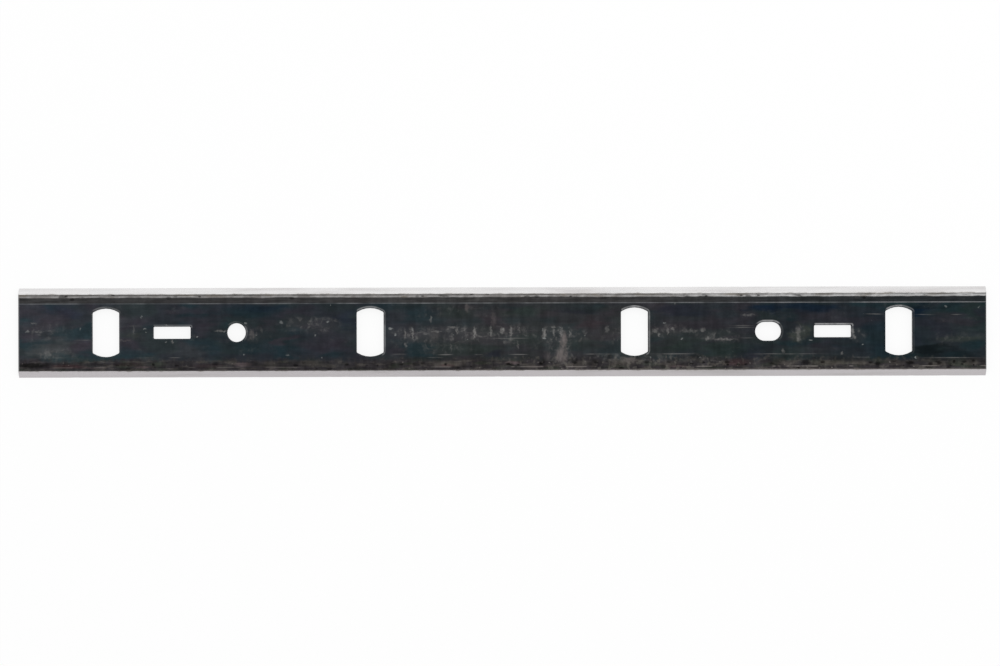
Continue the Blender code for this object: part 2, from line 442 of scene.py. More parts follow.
# Single marks seen on the face: broad dull ones, pale ones, and bright specks of bare steel
singleMarks = {
    "tan": [
        (20.9, -3.2, 1.7, 4.4, 0.66), (20.2, -7.8, 2.8, 4.0, 0.60), (-85.4, -0.7, 1.3, 2.4, 0.30),
        (-12.1, 8.2, 1.0, 2.2, 0.24), (-3.0, 4.2, 1.2, 4.0, 0.18), (15.4, -8.0, 1.6, 2.4, 0.16),
        (-23.2, -1.2, 2.4, 2.8, 0.16), (43.5, -9.6, 4.0, 1.2, 0.35),
        (-130.0, -2.6, 5.0, 0.5, 0.25),
    ],
    "scuff": [
        (-24.4, 4.5, 0.5, 1.6, 0.55), (-9.5, -0.3, 0.6, 2.8, 0.70), (-3.9, 0.3, 0.5, 2.6, 0.70),
        (0.1, 0.6, 1.0, 1.4, 0.80), (2.9, 0.2, 0.7, 2.6, 0.60), (14.4, -0.5, 0.6, 2.6, 0.85),
        (17.4, 1.5, 1.2, 0.5, 0.45), (17.6, -0.6, 0.5, 1.8, 0.60), (20.2, 0.0, 0.6, 2.2, 0.70),
        (23.1, -0.7, 0.5, 1.8, 0.50), (-33.2, -0.6, 0.5, 2.5, 0.50), (-30.5, -1.0, 0.5, 2.5, 0.70),
        (-22.6, 0.2, 2.6, 0.4, 0.50), (-16.8, 1.7, 2.6, 0.35, 0.50), (-15.5, 0.4, 0.5, 1.5, 0.70),
        (-32.9, -4.4, 0.6, 0.8, 0.55), (-17.5, -5.4, 0.5, 1.6, 0.45), (5.3, -4.4, 0.5, 1.8, 0.45),
        (35.7, 0.9, 1.0, 1.6, 0.35), (52.0, 0.2, 1.3, 0.9, 0.60), (53.4, -0.9, 0.6, 0.9, 0.70),
        (56.4, 0.1, 0.5, 1.7, 0.60), (58.0, 1.0, 0.9, 0.5, 0.50), (64.0, 0.2, 4.6, 0.7, 0.35),
        (68.4, 0.5, 1.1, 0.9, 0.55), (69.9, -2.5, 1.2, 1.0, 0.60), (75.4, -2.7, 5.6, 0.6, 0.55),
        (83.8, 5.6, 3.2, 0.5, 0.35), (95.7, -6.7, 0.7, 1.2, 0.60), (100.9, 0.5, 1.1, 2.0, 0.45),
        (101.2, -3.0, 1.1, 0.9, 0.50), (119.4, 0.1, 0.8, 1.2, 0.75), (120.2, -1.9, 0.7, 1.0, 0.60),
        (115.7, -7.6, 0.6, 0.9, 0.50), (-159.7, 3.4, 1.5, 0.4, 0.50), (-158.1, 0.4, 2.6, 0.5, 0.40),
        (-154.9, -7.0, 1.5, 1.6, 0.40), (-125.7, 1.0, 0.4, 2.0, 0.35), (-112.5, -3.0, 0.6, 1.1, 0.75),
        (-96.2, 0.6, 2.6, 0.5, 0.45),
    ],
    "speck": [
        (-162.0, 0.6, 0.9, 0.7, 0.70), (-143.9, 1.4, 0.5, 0.5, 0.40), (-122.1, 1.4, 0.5, 0.5, 0.60),
        (-121.4, 0.3, 0.6, 0.5, 0.45), (-103.9, -1.5, 0.6, 0.5, 0.65), (-87.6, 3.1, 0.9, 0.6, 0.50),
        (-94.8, 0.3, 0.6, 0.6, 0.60), (-88.0, -7.6, 0.7, 0.6, 0.60), (-73.4, -7.6, 0.7, 0.6, 0.45),
        (-38.1, 1.2, 0.9, 0.7, 0.80), (-36.4, -0.9, 0.7, 0.7, 0.70), (-30.6, 0.7, 0.4, 0.6, 0.70),
        (-11.8, -2.7, 0.5, 0.4, 0.60), (0.2, 0.8, 0.4, 0.6, 0.90), (13.8, 0.8, 0.4, 1.0, 0.70),
        (14.4, -2.2, 1.0, 0.4, 0.70), (61.3, -2.3, 0.6, 0.6, 0.75), (55.3, 2.9, 0.5, 0.5, 0.55),
        (105.2, -3.0, 0.9, 0.5, 0.75), (123.0, -4.7, 0.5, 0.5, 0.65), (140.8, -9.0, 0.7, 0.6, 0.85),
        (-59.5, 3.6, 0.9, 0.7, 0.50), (-75.5, 3.4, 0.9, 0.7, 0.45), (-63.8, -0.9, 0.8, 0.6, 0.45),
    ],
}

# Long thin scratches: start and end along the knife, place across it, strength
longScratches = [
    (-158, -148, -8.5, 0.45), (-126, -118, -8.5, 0.45), (-114, -109, -8.5, 0.40), (-146, -140, -2.5, 0.40),
    (-130, -122, 2.3, 0.25), (-22.6, -16.6, -7.7, 0.80), (-26, -20, -8.6, 0.45), (-9.7, -6.4, -7.7, 0.50),
    (2, 9, -7.7, 0.65), (26.5, 41, -7.6, 0.70), (49.5, 66, -7.6, 0.65), (82.5, 111, -7.7, 0.45),
    (119, 126, -8.9, 0.40), (142, 164.5, -9.1, 0.55), (123, 130.5, 5.8, 0.55), (140, 149, 5.6, 0.40),
    (152.8, 157, 5.6, 0.50), (77, 86, 2.0, 0.45), (77, 86.2, 1.4, 0.55), (81, 86, -2.2, 0.40),
    (-6.5, 9.5, -2.2, 0.55), (-38, -32, -7.5, 0.40), (-98, -86, 0.4, 0.30),
]

# Stains in the strip by the lower heel, under its streaks
heelStains = {
    "blush": [
        (-122.5, -11.7, 4.0, 0.5, 0.8), (-88.5, -10.9, 4.0, 1.1, 0.7), (3.5, -10.5, 3.8, 0.8, 0.9),
        (12.0, -11.8, 6.0, 0.4, 0.6), (60.0, -11.8, 5.0, 0.5, 0.8), (-140, -11.9, 7.0, 0.4, 0.5),
    ],
    "sand": [
        (-18.5, -10.9, 8.5, 1.5, 0.9), (-66, -10.5, 5.0, 1.4, 0.7), (-79, -10.9, 3.6, 1.6, 0.7),
        (41, -10.4, 6.5, 2.0, 0.6), (57, -10.9, 4.2, 1.2, 0.7), (111.5, -10.8, 8.0, 1.3, 0.9),
        (121.5, -10.8, 4.5, 1.2, 0.8), (148.5, -11.0, 5.0, 1.3, 0.8), (160, -10.9, 4.0, 1.2, 0.7),
        (97, -10.8, 5.0, 1.2, 0.6), (134, -10.9, 5.0, 1.2, 0.5), (27, -10.6, 4.0, 1.4, 0.6),
    ],
    "rust": [
        (-148, -11.5, 8.0, 1.1, 0.9), (80, -10.6, 6.0, 1.8, 0.8), (-127, -10.8, 8.0, 1.0, 0.4),
        (-19, -11.4, 4.0, 0.8, 0.6), (-100, -11.4, 8.0, 1.0, 0.3),
    ],
}

# The dark seam above that strip, and its deep pits, both over everything else
heelMarks = {
    "seam": [
        (-19, -8.9, 20, 1.3, 0.34), (29, -9.8, 14, 2.4, 0.30), (67, -9.4, 20, 1.4, 0.38),
        (120, -9.8, 12, 1.1, 0.42), (152, -10.1, 19, 1.5, 0.46), (-70, -10.9, 24, 1.4, 0.42),
        (-128, -10.3, 10, 1.0, 0.20),
    ],
    "pit": [
        (-160, -11.1, 7.5, 1.2, 0.9), (-53, -11.0, 1.1, 0.6, 0.9), (-70.5, -11.2, 1.6, 0.6, 0.8),
        (2.2, -11.0, 1.9, 0.7, 1.0), (13.1, -10.8, 1.1, 0.6, 1.0), (76.8, -10.4, 1.2, 0.8, 0.8),
        (83.0, -11.2, 1.0, 0.6, 0.9), (-19.3, -11.0, 0.9, 0.7, 0.9), (-119, -10.9, 0.7, 0.6, 0.9),
        (-111, -11.3, 0.9, 0.5, 0.8), (31.6, -9.9, 1.4, 0.8, 0.7), (23.8, -9.7, 3.0, 1.0, 0.6),
        (154, -10.4, 0.8, 0.7, 0.9), (160.6, -10.2, 1.0, 0.7, 0.9), (146, -11.1, 1.1, 0.8, 0.8),
        (-136, -11.0, 3.0, 0.8, 0.5), (-98, -10.7, 1.6, 0.6, 0.5), (92, -11.0, 1.4, 0.6, 0.8),
        (103.5, -10.6, 2.4, 1.2, 0.7), (66, -8.4, 3.0, 1.6, 0.5), (128, -11.2, 1.4, 0.8, 0.8),
        (139, -10.8, 2.2, 0.9, 0.9), (149, -11.0, 1.2, 0.7, 0.8), (156.8, -11.4, 0.8, 0.6, 0.9),
        (-30, -11.0, 1.2, 0.8, 0.5), (36.5, -8.2, 1.2, 1.4, 0.5), (46, -9.0, 1.0, 1.4, 0.5),
    ],
}

stainFinish = {
    "brown": shade(47, 44, 46),
    "blush": shade(86, 76, 77),
    "sand": shade(74, 70, 66),
    "crumb": shade(112, 107, 104),
    "fleck": shade(90, 87, 82),
    "rust": shade(60, 44, 46),
    "moss": shade(50, 54, 46),
    "seam": shade(30, 31, 31),
    "pit": shade(16, 15, 15),
    "start": -8.4,               # where the strip begins
    "full": -10.4,               # and where it is fully stained
    "stripShare": 0.85,
    "stainShare": 0.75,
    "sandShare": 0.7,
    "mossShare": 0.7,
    "levelPitch": (11, 0.8, 1),      # its streaks
    "levelDepth": 0.26,
    "columnPitch": (2.6, 9, 1),
    "columnDepth": 0.32,
    "crumbShare": 0.60,
    "fleckPitch": (1.5, 1.9, 1),     # coarse flecks, most of them in its right half
    "fleckShare": 0.55,
    "ridge": (-12.15, -11.60),       # a worn ridge along the heel band
    "ridgeShare": 0.7,
    "worn": (-12.45, -12.85),        # worn steel at the heel itself
    "pitShare": 0.95,
}

# The strip between the upper shoulder and the heel, and the worn band beside the heel
upperFinish = {
    "strip": shade(59, 58, 58),
    "stripRight": shade(38, 41, 43),
    "stripShade": 0.72,          # its darker stretches, against the plain ones
    # the painted highlight along the upper shoulder, where it faces the light
    "line": shade(106, 107, 109),
    "band": shade(122, 119, 118),
    "bandHeel": shade(110, 108, 107),
    "bandRight": shade(172, 172, 172),
    "bandHeelRight": shade(150, 150, 150),
    "bandDull": shade(74, 73, 72),
    "bandBrown": shade(98, 91, 80),
    "shoulder": 9.885,           # the middle of the painted highlight line along the upper shoulder, which faces the light
    "shoulderHighlightWidth": 0.24,           # half of it
    "landEnd": 11.79,            # where the strip gives way to the heel band
    "stripShare": 0.85,
    "bandShare": 0.95,
    "brownShare": 0.6,
    "brightShare": 0.36,
    "dullShare": 0.45,
    "wornShare": 0.8,
    "pitShare": 0.75,
    "pits": [
        (-146.7, 11.4, 1.3, 0.7, 0.9), (-113.8, 11.8, 1.2, 0.7, 0.8), (-71.8, 11.7, 1.3, 0.6, 0.9),
        (11.8, 12.0, 1.2, 0.6, 0.8), (34.8, 11.6, 1.8, 0.5, 0.7), (123.4, 11.4, 1.0, 0.7, 0.9),
        (67.5, 11.8, 0.9, 0.5, 0.6), (-29, 12.2, 1.0, 0.5, 0.6),
    ],
}


def temperColour(tree, place, axes):
    # broad tempering colours, drawn out along the rolled strip and darker to the right
    finish = frontFinish
    loose = drift(tree, place, (16, 4, 4), (26, 7, 0))
    loose = drift(tree, loose, (2.6, 1.3, 2), (3.4, 1.6, 0))
    colour = finish["slate"]
    for name, shift, share in temperClouds:
        shifted = vectorMaths(tree, "ADD", place, (shift, shift / 6, 0))
        cloud = noiseValue(tree, shifted, (15, 5.5, 8), 2.0, 0.45)
        colour = mixColour(tree, ramp(tree, cloud, 0.48, 0.62, 0.0, share), colour, finish[name])
    for name, patches in temperPatches.items():
        colour = paint(tree, colour, patchesMask(tree, loose, patches), finish[name])
    tint = finish["leftTint"]
    for name, begins, full in temperTints:
        tint = mixColour(tree, ramp(tree, axes["X"], begins, full), tint, finish[name])
    return toned(tree, colour, tint)


def mottledTone(tree, place, axes):
    # the lines, blotches and grain of the whole face, and its upright rub marks
    tones = [streaks(tree, place, pitch, depth) for pitch, depth in faceStreaks]
    rubbed = ramp(tree, axes["X"], *rubMarks["growOver"], rubMarks["leftDepth"], rubMarks["depth"])
    loss = ramp(tree, axes["X"], *rubMarks["fadeOver"], 0.0, rubMarks["rightLoss"])
    tones.append(streaks(tree, place, rubMarks["pitch"], maths(tree, "SUBTRACT", rubbed, loss)))
    return times(tree, *tones)


def scuffMask(tree, place):
    # soft upright smears and thin level lines, inside the areas that rub against other things
    shape = scuffShape
    jittered = drift(tree, place, (5, 3, 3), (7, 3, 0))
    areas = patchesMask(tree, jittered, scuffedAreas)
    stray = ramp(tree, noiseValue(tree, place, (9, 4, 5)), 0.52, 0.74, 0.0, shape["stray"])
    areas = maths(tree, "ADD", areas, stray)
    uneven = drift(tree, place, (3, 2, 2), (2.6, 2.2, 0))
    smears = ramp(tree, noiseValue(tree, uneven, shape["smearPitch"], 2.0), 0.47, 0.68)
    lines = noiseValue(tree, uneven, shape["linePitch"], 2.0)
    lines = ramp(tree, lines, 0.52, 0.70, 0.0, shape["lineShare"])
    grit = ramp(tree, noiseValue(tree, place, shape["gritPitch"], 3.0, 0.6), 0.36, 0.66, 0.1, 1.0)
    broken = times(tree, maths(tree, "MAXIMUM", smears, lines), grit)
    return areas, maths(tree, "MULTIPLY", areas, broken, clamp=True)


def scratchMask(tree, place):
    # each scratch is a long thin patch that wavers a little and is broken by gaps
    lines = []
    for start, end, across, strength in longScratches:
        reach = (end - start) * 0.6      # a patch fades before it ends
        lines.append(((start + end) / 2, across, reach, frontFinish["scratchWidth"], strength))
    wavering = drift(tree, place, (9, 9, 5), (0, 0.25, 0))
    gaps = ramp(tree, noiseValue(tree, place, (5.0, 40, 5)), 0.34, 0.58, 0.25, 1.0)
    return times(tree, patchesMask(tree, wavering, lines), gaps)


def addHeelStains(tree, colour, place, axes):
    # the strip by the lower heel: brown, streaked and spotted
    finish = stainFinish
    x, y = axes["X"], axes["Y"]
    ragged = drift(tree, place, (1.4, 1.0, 1), (1.2, 0.9, 0))
    upright = drift(tree, ragged, (7, 3, 3), (0, 2.6, 0))
    upright = drift(tree, upright, (1.8, 12, 3), (0, 2.6, 0))
    across = splitAxes(tree, upright)["Y"]
    strip = ramp(tree, across, finish["start"], finish["full"])

    # Brown, with sandy and mossy patches, and stains of its own
    sandy = noiseValue(tree, ragged, (6.0, 1.5, 1), 4.0, 0.6)
    sandy = ramp(tree, sandy, 0.50, 0.64, 0.0, finish["sandShare"])
    stain = mixColour(tree, sandy, finish["brown"], finish["sand"])
    mossy = noiseValue(tree, place, (9, 2.5, 3))
    mossy = ramp(tree, mossy, 0.50, 0.66, 0.0, finish["mossShare"])
    stain = mixColour(tree, mossy, stain, finish["moss"])
    colour = paint(tree, colour, strip, stain, finish["stripShare"])
    for name, patches in heelStains.items():
        mask = patchesMask(tree, ragged, patches)
        colour = paint(tree, colour, mask, finish[name], finish["stainShare"])
    level = streaks(tree, place, finish["levelPitch"], finish["levelDepth"])
    columns = streaks(tree, place, finish["columnPitch"], finish["columnDepth"])
    colour = mixColour(tree, strip, colour, toned(tree, colour, times(tree, level, columns)))

    # Pale crumbs and dark spots, more of them to the right
    busier = times(tree, strip, ramp(tree, x, -60.0, 70.0, 0.55, 1.0))
    crumbs = useGroup(tree, "speckle", {"Place": ragged, "Cell": 2.0, "Share": 0.20, "Size": 0.30})
    colour = paint(tree, colour, times(tree, crumbs, busier), finish["crumb"], finish["crumbShare"])
    flat = vectorMaths(tree, "MULTIPLY", ragged, (0.5, 1, 1))
    spots = useGroup(tree, "speckle", {"Place": flat, "Cell": 2.0, "Share": 0.40, "Size": 0.50})
    low = ramp(tree, y, -9.8, -10.8, 0.35, 1.0)
    colour = paint(tree, colour, times(tree, spots, busier, low), finish["pit"])

    # Coarse flecks, worn steel at the heel, and a worn ridge that comes and goes
    flecks = ramp(tree, noiseValue(tree, ragged, finish["fleckPitch"], 2.0), 0.52, 0.64)
    reach = ramp(tree, across, finish["start"] + 0.7, finish["start"] - 0.8)
    fromLeft, fromRight = ramp(tree, x, -20.0, 30.0, 0.15, 1.0), ramp(tree, x, 60.0, 95.0, 1.0, 0.45)
    flecks = times(tree, flecks, reach, fromLeft, fromRight)
    colour = paint(tree, colour, flecks, finish["fleck"], finish["fleckShare"])
    worn = times(tree, ramp(tree, y, *finish["worn"]), ramp(tree, x, -80.0, 90.0, 0.10, 0.50))
    colour = paint(tree, colour, worn, finish["crumb"])
    ridgeLow, ridgeHigh = finish["ridge"]
    ridge = useGroup(tree, "band", {"Value": y, "Low": ridgeLow, "High": ridgeHigh, "Soft": 0.18})
    kept = ramp(tree, noiseValue(tree, place, (8, 40, 5)), 0.52, 0.60)
    ridge = times(tree, ridge, kept, ramp(tree, x, -60.0, 40.0, 0.4, 1.0))
    colour = paint(tree, colour, ridge, finish["crumb"], finish["ridgeShare"])

    colour = paint(tree, colour, patchesMask(tree, ragged, heelMarks["seam"]), finish["seam"])
    pits = patchesMask(tree, ragged, heelMarks["pit"])
    return paint(tree, colour, pits, finish["pit"], finish["pitShare"])


def addUpperStrip(tree, colour, place, axes):
    finish = upperFinish
    x, y = axes["X"], axes["Y"]
    shoulder, landEnd = finish["shoulder"], finish["landEnd"]
    strip = ramp(tree, y, shoulder + 0.05, shoulder + 0.35)
    toRight = ramp(tree, x, 0.0, 150.0)
    stripColour = mixColour(tree, toRight, finish["strip"], finish["stripRight"])
    dull = noiseValue(tree, place, (11, 1.1, 2), 3.0, 0.6)
    stripColour = toned(tree, stripColour, ramp(tree, dull, 0.40, 0.60, finish["stripShade"], 1.05))
    colour = paint(tree, colour, strip, stripColour, finish["stripShare"])

    # A painted highlight along the upper shoulder, broken on the left and running through on the right
    breaks = noiseValue(tree, place, (11, 60, 20), 3.0, 0.6)
    whole = maths(tree, "ADD", ramp(tree, x, -60.0, 30.0, 0.0, 0.08), ramp(tree, x, 80.0, 140.0, 0.0, 0.16))
    kept = ramp(tree, maths(tree, "ADD", breaks, whole), 0.36, 0.78, 0.20, 0.95)
    low, high = shoulder - finish["shoulderHighlightWidth"], shoulder + finish["shoulderHighlightWidth"]
    line = useGroup(tree, "band", {"Value": y, "Low": low, "High": high, "Soft": 0.16})
    colour = paint(tree, colour, times(tree, line, kept), finish["line"])

    # The band beside the heel is worn pale, most at its inner side and to the right
    ragged = drift(tree, place, (3.5, 1.0, 1), (0, 0.45, 0))
    ragged = drift(tree, ragged, (16, 5, 3), (0, 0.7, 0))
    across = splitAxes(tree, ragged)["Y"]
    pale = ramp(tree, across, landEnd - 0.04, landEnd + 0.36)
    inner = mixColour(tree, toRight, finish["band"], finish["bandRight"])
    outer = mixColour(tree, toRight, finish["bandHeel"], finish["bandHeelRight"])
    bandColour = mixColour(tree, ramp(tree, y, landEnd + 0.35, heelLine - 0.15), inner, outer)
    brown = noiseValue(tree, place, (10, 2.0, 1), 3.0, 0.6)
    brown = ramp(tree, brown, 0.50, 0.64, 0.0, finish["brownShare"])
    bandColour = mixColour(tree, brown, bandColour, finish["bandBrown"])

    # It wears in long stretches: brighter ones inside, and dull ones right at the heel
    stretches = ramp(tree, noiseValue(tree, place, (8, 60, 9), 3.0, 0.6), 0.44, 0.54)
    bright = times(tree, ramp(tree, y, landEnd + 0.85, landEnd + 0.55), stretches)
    bandColour = paint(tree, bandColour, bright, finish["bandRight"], finish["brightShare"])
    elsewhere = vectorMaths(tree, "ADD", place, (77, 0, 0))
    stretches = ramp(tree, noiseValue(tree, elsewhere, (7, 60, 9), 3.0, 0.6), 0.42, 0.52)
    dulled = times(tree, ramp(tree, y, heelLine - 0.75, heelLine - 0.45), stretches)
    bandColour = paint(tree, bandColour, dulled, finish["bandDull"], finish["dullShare"])
    elsewhere = vectorMaths(tree, "ADD", place, (191, 0, 0))
    worn = noiseValue(tree, elsewhere, (6, 1.6, 1), 3.0, 0.6)
    worn = ramp(tree, worn, 0.42, 0.34, 0.0, finish["wornShare"])
    bandColour = mixColour(tree, worn, bandColour, finish["bandDull"])
    colour = paint(tree, colour, pale, bandColour, finish["bandShare"])

    # Pits along it, placed ones and scattered ones
    pits = patchesMask(tree, ragged, finish["pits"])
    near = ramp(tree, y, landEnd - 0.9, landEnd + 0.2)
    flat = vectorMaths(tree, "MULTIPLY", ragged, (0.45, 1, 1))
    scattered = useGroup(tree, "speckle", {"Place": flat, "Cell": 2.6, "Share": 0.30, "Size": 0.30})
    pits = maths(tree, "MAXIMUM", pits, times(tree, scattered, near))
    return paint(tree, colour, pits, stainFinish["pit"], finish["pitShare"])


# Each kind of hole: half length between its flats, half height, stretch and radius, in millimetres
farOff = 99.0                    # for flats or an arc that a kind of hole doesn't have
holeShapes = {
    "opening": (4.6, 8.25, 0.0, 8.25),
    "slot": (6.35, 2.05, 0.0, farOff),
    "roundHole": (farOff, 3.2, 0.0, 3.2),
    "longHole": (farOff, 3.2, 1.25, 3.2),
}

# Each hole by the name of its opening in the record: its kind, and the strength of its painted highlight at
# its top and right side
rimHighlightShares = {
    "opening_1": ("opening", 0.35, 0.05),
    "opening_2": ("opening", 0.60, 0.50),
    "opening_3": ("opening", 1.00, 0.70),
    "opening_4": ("opening", 0.85, 0.08),
    "slot_left": ("slot", 0.30, 0.05),
    "slot_right": ("slot", 0.95, 0.25),
    "pin_hole_left": ("roundHole", 0.20, 0.45),
    "pin_hole_right": ("longHole", 0.95, 0.20),
}


def paintRimAndEndHighlights(tree, colour, place, axes):
    # painted highlights on the hole rims at their tops and right sides, and on both ends along their short
    # front edge
    rims = None
    for opening in frame["record"]["physics"]["openings"]:
        kind, top, right = rimHighlightShares[opening["name"]]
        length, height, stretch, radius = holeShapes[kind]
        lowCorner, highCorner = opening["box_m"]
        centre = [(low + high) / 2 / mm for low, high in zip(lowCorner, highCorner)]
        sockets = {"Place": place, "Centre": (centre[0], centre[1], 0), "Half": (length, height, stretch)}
        sockets.update({"Radius": radius, "Top": top, "Right": right})
        mask = useGroup(tree, "holeRimHighlight", sockets)
        rims = mask if rims is None else maths(tree, "MAXIMUM", rims, mask)
    uneven = ramp(tree, noiseValue(tree, place, (3.5, 3.5, 3)), 0.34, 0.60, 0.45, 1.0)
    # the painted highlight along the hole rims' tops and right sides
    colour = paint(tree, colour, times(tree, rims, uneven), frontFinish["rimHighlightColour"])
    # a painted highlight along the short front edge at each end, stronger at the left end
    fromEnd = maths(tree, "SUBTRACT", cadHigh.x / mm, maths(tree, "ABSOLUTE", axes["X"]))
    share = ramp(tree, axes["X"], -20.0, 20.0, *frontFinish["endShares"])
    end = times(tree, ramp(tree, fromEnd, *frontFinish["endBreak"]), share)
    colour = paint(tree, colour, end, frontFinish["endHighlightColour"])
    onBevel = maths(tree, "GREATER_THAN", maths(tree, "ABSOLUTE", axes["Y"]), heelLine)
    return paint(tree, colour, onBevel, bevelFinish["steel"])


def makeFrontFinish():
    finish = frontFinish
    material, tree, place = startMaterial("temperedFront")
    axes = splitAxes(tree, place)
    colour = temperColour(tree, place, axes)
    tone = mottledTone(tree, place, axes)
    colour = addHeelStains(tree, colour, place, axes)
    colour = addUpperStrip(tree, colour, place, axes)
    colour = toned(tree, colour, tone)
    hazed, scuffed = scuffMask(tree, place)
    colour = paint(tree, colour, hazed, finish["haze"], finish["hazeShare"])
    colour = paint(tree, colour, scuffed, finish["scuff"], finish["scuffShare"])
    colour = paint(tree, colour, scratchMask(tree, place), finish["scuff"], finish["scratchShare"])

    # Single marks and specks, with ragged outlines and rubbed through in places
    jittered = drift(tree, place, (1.2, 0.9, 1), (2.0, 1.8, 0))
    jittered = drift(tree, jittered, (0.45, 0.45, 1), (0.7, 0.6, 0))
    rubbed = ramp(tree, noiseValue(tree, place, (0.9, 3.2, 1), 2.0), 0.34, 0.60, 0.45, 1.0)
    for name, marks in singleMarks.items():
        mask = times(tree, patchesMask(tree, jittered, marks, markSwell[name]), rubbed)
        colour = paint(tree, colour, mask, finish[name], markStrength[name])
    share = maths(tree, "MULTIPLY_ADD", scuffed, finish["scuffSpecks"], finish["straySpecks"])
    specks = useGroup(tree, "speckle", {"Place": jittered, "Cell": 2.8, "Share": share, "Size": 0.28})
    colour = paint(tree, colour, specks, finish["speck"], finish["speckShare"])
    colour = paintRimAndEndHighlights(tree, colour, place, axes)
    roughness = maths(tree, "MULTIPLY_ADD", scuffed, -0.10, finish["roughness"])
    finishMaterial(tree, finish, colour, roughness, tone)
    return material


# The bevels: bright steel with fine marks from the grinding wheel

bevelFinish = {
    "metallic": 1.0,
    "roughness": 0.30,
    "bump": 0.06,
    "bumpDepth": 0.01,
    "steel": shade(187, 186, 186),
    "steelBelow": shade(189, 185, 187),
    "grey": shade(176, 173, 173),
    "stain": shade(104, 98, 90),
}


def makeBevelFinish():
    finish = bevelFinish
    material, tree, place = startMaterial("groundBevel")
    wheel = streaks(tree, place, (0.8, 5, 5), 0.012)
    along = streaks(tree, place, (40, 0.9, 0.9), 0.02)
    cloud = noiseValue(tree, place, (34, 2.5, 3), 3.0, 0.5)
    toUpper = ramp(tree, splitAxes(tree, place)["Y"], -1.0, 1.0)
    colour = mixColour(tree, toUpper, finish["steelBelow"], finish["steel"])
    colour = mixColour(tree, ramp(tree, cloud, 0.50, 0.72, 0.0, 0.7), colour, finish["grey"])
    ragged = drift(tree, place, (2.2, 2.0, 2), (0, 1.1, 0))
    across = maths(tree, "ABSOLUTE", splitAxes(tree, ragged)["Y"])
    stained = ramp(tree, across, heelLine + 0.30, heelLine - 0.25, 0.0, 0.8)
    colour = mixColour(tree, stained, colour, finish["stain"])
    colour = toned(tree, colour, times(tree, wheel, along))
    roughness = ramp(tree, cloud, 0.3, 0.7, finish["roughness"] - 0.05, finish["roughness"] + 0.08)
    finishMaterial(tree, finish, colour, roughness, wheel)
    return material


# Hole walls and ends: sheared by the punch, smooth near the front and torn near the back

wallFinish = {
    "metallic": 1.0,
    "roughness": 0.45,
    "bump": 0.5,
    "bumpDepth": 0.03,
    "smooth": shade(92, 93, 96),
    "torn": shade(58, 58, 60),
    "tearHeight": 1.25,
}


def makeWallFinish():
    finish = wallFinish
    material, tree, place = startMaterial("shearedWall")
    ragged = drift(tree, place, (1.1, 1.1, 50), (0, 0, 0.9))
    height = splitAxes(tree, ragged)["Z"]
    smooth = ramp(tree, height, finish["tearHeight"] - 0.12, finish["tearHeight"] + 0.12)
    grain = noiseValue(tree, place, (0.33, 0.33, 0.33), 4.0, 0.7)
    drawn = streaks(tree, place, (0.25, 0.25, 4), 0.08)
    colour = mixColour(tree, smooth, finish["torn"], finish["smooth"])
    colour = toned(tree, colour, times(tree, ramp(tree, grain, 0.3, 0.7, 0.85, 1.15), drawn))
    roughness = ramp(tree, smooth, 0.0, 1.0, finish["roughness"] + 0.15, finish["roughness"] - 0.1)
    rough = times(tree, grain, maths(tree, "SUBTRACT", 1.0, smooth))
    finishMaterial(tree, finish, colour, roughness, maths(tree, "ADD", rough, drawn))
    return material


# The back: ground flat along its length, a little oxide left in the low places

backFinish = {
    "metallic": 1.0,
    "roughness": 0.34,
    "bump": 0.3,
    "bumpDepth": 0.01,
    "steel": shade(148, 150, 153),
    "oxide": shade(74, 80, 88),
    "stain": shade(104, 94, 84),
}


def makeBackFinish():
    finish = backFinish
    material, tree, place = startMaterial("groundBack")
    lines = streaks(tree, place, (30, 0.25, 1), 0.14)
    broad = noiseValue(tree, place, (20, 4.5, 5), 4.0, 0.6)
    colour = mixColour(tree, ramp(tree, broad, 0.45, 0.70, 0.0, 0.8), finish["steel"], finish["oxide"])
    spots = ramp(tree, noiseValue(tree, place, (3.3, 2.5, 3), 4.0, 0.7), 0.60, 0.72, 0.0, 0.4)
    colour = mixColour(tree, spots, colour, finish["stain"])
    colour = toned(tree, colour, lines)
    roughness = ramp(tree, broad, 0.3, 0.7, finish["roughness"] - 0.04, finish["roughness"] + 0.12)
    finishMaterial(tree, finish, colour, roughness, lines)
    return material


finishes = [makeFrontFinish(), makeBevelFinish(), makeWallFinish(), makeBackFinish()]
print("finishes made:", [finish.name for finish in finishes])


# The knife itself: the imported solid, cut finer along its length and lightly used along its edges

knifeShape = {
    "weld": 0.001 * mm,
    "slice": 1.0 * mm,          # how far apart the cuts across the strip are
    "heelWander": 0.10 * mm,    # a heel ground by hand isn't quite straight
    "heelReach": 0.05 * mm,     # how near the heel line a corner must be to wander with it
    "wanderPitch": 9.0 * mm,
    "nickDepth": 0.12 * mm,     # small nicks in the cutting edges, always inwards
    "nickStart": 0.25,          # how far the noise must rise before it bites into the edge
    "nickPitch": 3.0 * mm,
    "flatAngle": math.radians(0.5),    # faces this close to one plane become one face
    "sharpAngle": math.radians(35),
    "backLimit": -0.95,         # how far down a face must look to be the back
    "wallLimit": 0.05,          # and how little up to be a wall or an end
    "bevelSlack": 0.02,
    "alongSlack": 0.01,
}


def finishIndex(normal):
    # which finish a face takes: 0 front, 1 bevel, 2 wall, 3 back
    shape = knifeShape
    if normal.z < shape["backLimit"]:
        return 3
    if normal.z < shape["wallLimit"]:
        return 2
    leansRight = abs(normal.z - math.cos(bevelAngle)) < shape["bevelSlack"]
    return 1 if leansRight and abs(normal.x) < shape["alongSlack"] else 0


